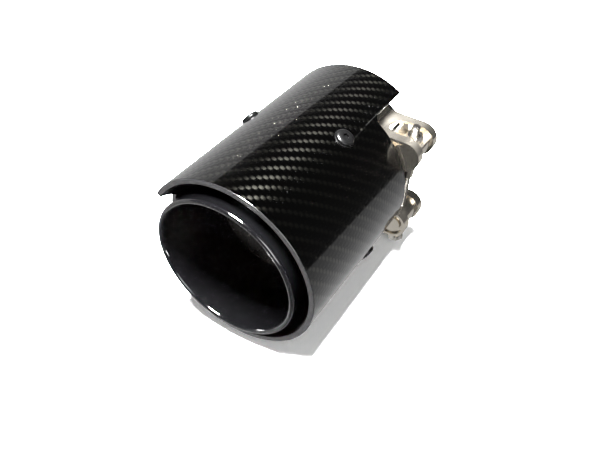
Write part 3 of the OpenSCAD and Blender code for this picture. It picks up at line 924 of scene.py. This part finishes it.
thread_group, thread_sockets = thread_tree()
thread_len = bolt_high - thread_start - 1.3 * MM
lean = UP.to_track_quat("Z", "Y").to_euler()
thread = grow("bolt_thread", thread_group, thread_sockets,
              {"Pitch": PITCH, "Turns": thread_len / PITCH, "Root radius": ROOT_R,
               "Base": tuple(MIDDLE + UP * (thread_start + 0.6 * MM)), "Lean": tuple(lean)})
reach = max((v.co - MIDDLE).cross(UP).length for v in thread.data.vertices)
print("thread turns", round(thread_len / PITCH, 1), "outer radius", round(reach, 5))

# %% [markdown]
# ## Nut and spacer
# The nut is a short hexagon with chamfered corners and a round bore. The spacer is a
# turned bush whose ends are rounded off. Both are skinned from rings, like the bolt.

# %% Build the nut and the spacer
def span(node):
    heights = [(v.co - MIDDLE).dot(UP) for v in nodes[node].data.vertices]
    return min(heights), max(heights)


nut_low, nut_high = span("clamp_nut")
BORE_R = BOLT_R + 0.08 * MM
nut = along_bolt("clamp_nut_hexagon", [
    plain_ring(nut_low + 0.3 * MM, BORE_R), plain_ring(nut_low, BORE_R + 0.3 * MM),
    plain_ring(nut_low, FLAT_R - 0.05 * MM), hex_ring(nut_low + 0.4 * MM, BOLT_AF, CORNER_R),
    hex_ring(nut_high - 0.4 * MM, BOLT_AF, CORNER_R), plain_ring(nut_high, FLAT_R - 0.05 * MM),
    plain_ring(nut_high, BORE_R + 0.3 * MM), plain_ring(nut_high - 0.3 * MM, BORE_R)], holed=True)
spacer_low, spacer_high = span("bolt_spacer")
SPACER_R = 4.3 * MM
spacer = along_bolt("spacer_bush", [
    plain_ring(spacer_low, BORE_R), plain_ring(spacer_low, SPACER_R - 0.6 * MM),
    plain_ring(spacer_low + 0.18 * MM, SPACER_R - 0.25 * MM),
    plain_ring(spacer_low + 0.6 * MM, SPACER_R), plain_ring(spacer_high - 0.2 * MM, SPACER_R),
    plain_ring(spacer_high, SPACER_R - 0.2 * MM), plain_ring(spacer_high, BORE_R)], holed=True)
print("nut", round((nut_high - nut_low) / MM, 2), "mm high")
print("spacer", round((spacer_high - spacer_low) / MM, 2), "mm high")

# %% [markdown]
# ## Dress the pieces and join them to their bodies
# Every piece rides on a CAD body, so it moves with that body's joint. A piece that is
# drawn again stands for its CAD node, which is then hidden. CAD nodes whose shape is
# already right stay and only get a finish.

# %% Finishes for the CAD nodes
node_finish = {
    "stop_ring": sleeve_steel, "inlet_sleeve": sleeve_steel,
    "clamp_band": clamp_steel, "barrel_upper": clamp_steel, "barrel_lower": clamp_steel,
}
for k in range(1, 5):
    node_finish[f"bracket_{k}"] = bracket_black
    node_finish[f"weld_nut_{k}"] = fastener_steel
for name, material in node_finish.items():
    mesh = nodes[name].data
    mesh.materials.clear()
    mesh.materials.append(material)
print("finished CAD nodes:", len(node_finish))

# %% Rides and replaced nodes
def settle(piece, body, slot, material, *stands_for):
    if not piece.data.materials:
        piece.data.materials.append(material)
    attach(piece, body)
    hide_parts(*stands_for)


settle(shell, "tip", "carbon", carbon, "carbon_shell")
settle(tube, "tip", "gloss_black", enamel, "outlet_tube")
settle(liner, "tip", "gloss_black", enamel, "outlet_liner")
settle(weld, "tip", "weld", weld_metal, "weld_bead")
settle(screws, "tip", "black_fastener", bracket_black, *[f"shell_screw_{k}" for k in range(1, 5)])
settle(washers, "tip", "black_fastener", bracket_black, *[f"shell_washer_{k}" for k in range(1, 5)])
settle(nut, "clamp", "fastener_steel", fastener_steel, "clamp_nut")
settle(spacer, "spacer", "fastener_steel", fastener_steel, "bolt_spacer")
settle(bolt_body, "bolt", "fastener_steel", fastener_steel, "clamp_bolt")
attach(thread, "bolt")

# %% [markdown]
# ## Studio
# A plain pale floor in a room with a pale wall on the left, a pale table below and
# dark everywhere else. A glossy black object is drawn by what it reflects, so the
# straight edges of the pale parts make the bands on the shell. A soft lamp above
# whitens the floor and brings out the weave; a weak one fills the clamp's side.

# %% Floor
FLOOR_HALF = 6.0
floor_points = [(x * FLOOR_HALF, y * FLOOR_HALF, FLOOR_Z)
                for x, y in ((-1, -1), (1, -1), (1, 1), (-1, 1))]
floor = make_piece("studio_floor", floor_points, [(0, 1, 2, 3)], smooth=False)
floor_material, _, floor_shader = new_material(
    "pale_floor", Base_Color=(0.9, 0.9, 0.9, 1), Roughness=0.9)
floor_shader.inputs["Specular IOR Level"].default_value = 0.0
floor.data.materials.append(floor_material)
floor.visible_glossy = False
print("floor at", round(FLOOR_Z, 4))

# %% Room
WALL, TABLE, DARK, SOFT = 0.60, 0.46, 0.06, 0.38
EDGE_BLUR = 0.012
TABLE_SLOPE = 0.335
TABLE_FRONT_LOSS = 0.72
WALL_SLOPE_X, WALL_SLOPE_Y = 0.454, 0.410


def make_room():
    world = bpy.data.worlds.new("soft_room")
    bpy.context.scene.world = world
    world.use_nodes = True
    tree = world.node_tree
    background = tree.nodes["Background"]
    direction = add_node(tree, "ShaderNodeTexCoord").outputs["Generated"]
    x, y, z = add_node(tree, "ShaderNodeSeparateXYZ", direction).outputs

    def maths(operation, *inputs):
        return math_node(tree, operation, *inputs)

    def below(value, low, high):
        """1 below low, 0 above high."""
        above = add_node(tree, "ShaderNodeMapRange", value, low, high).outputs[0]
        return maths("SUBTRACT", 1.0, above)

    # the table: everything below a line that drops towards the back, dimmer in front
    table_line = maths("ADD", z, maths("MULTIPLY", maths("ABSOLUTE", y), TABLE_SLOPE))
    front_loss = maths("MULTIPLY", below(y, -0.05, 0.25), TABLE_FRONT_LOSS)
    table = maths("MULTIPLY", below(table_line, -EDGE_BLUR, EDGE_BLUR),
                  maths("SUBTRACT", 1.0, front_loss))
    # the wall: on the left, up to a straight edge at about 31 degrees
    wall_line = maths("SUBTRACT", maths("ADD", z, maths("MULTIPLY", x, WALL_SLOPE_X)),
                      maths("MULTIPLY", y, WALL_SLOPE_Y))
    wall = maths("MULTIPLY", below(wall_line, -EDGE_BLUR, EDGE_BLUR), below(x, -0.25, -0.1))
    light = maths("MAXIMUM", maths("MULTIPLY", table, TABLE), maths("MULTIPLY", wall, WALL))
    strength = maths("MAXIMUM", light, DARK)
    # matt surfaces see a soft grey room, and the camera sees white
    path = add_node(tree, "ShaderNodeLightPath")
    soft = maths("MULTIPLY", path.outputs["Is Diffuse Ray"], SOFT)
    strength = maths("MAXIMUM", maths("MAXIMUM", strength, soft), path.outputs["Is Camera Ray"])
    tree.links.new(strength, background.inputs["Strength"])
    background.inputs["Color"].default_value = (1.0, 1.0, 1.0, 1.0)


make_room()
print("room ready")

# %% Lamps
def soft_lamp(name, place, target, size, power):
    data = bpy.data.lights.new(name, "AREA")
    data.shape = "SQUARE"
    data.size = size
    data.energy = power
    lamp = bpy.data.objects.new(name, data)
    lamp.location = place
    lamp.rotation_euler = (Vector(target) - Vector(place)).to_track_quat("-Z", "Y").to_euler()
    bpy.context.scene.collection.objects.link(lamp)


soft_lamp("overhead", (0.0, -0.20, 0.95), (0.0, -0.06, 0.0), size=0.30, power=330.0)
soft_lamp("front right", (0.75, -0.55, 0.45), (0.05, -0.02, 0.0), size=0.60, power=7.0)

# %% Camera
camera_data = bpy.data.cameras.new("camera")
camera_data.lens = 36.757
camera_data.sensor_width = 36.0
camera_data.clip_start = 0.01
camera = bpy.data.objects.new("camera", camera_data)
camera.location = (0.1336, -0.2689, 0.2026)
AZIMUTH, ELEVATION = math.radians(32.407), math.radians(42.0466)
camera.rotation_euler = (math.pi / 2 - ELEVATION, 0.0, AZIMUTH)
bpy.context.scene.collection.objects.link(camera)
bpy.context.scene.camera = camera
bpy.context.scene.view_settings.view_transform = "Standard"
print("camera at", tuple(round(c, 4) for c in camera.location))
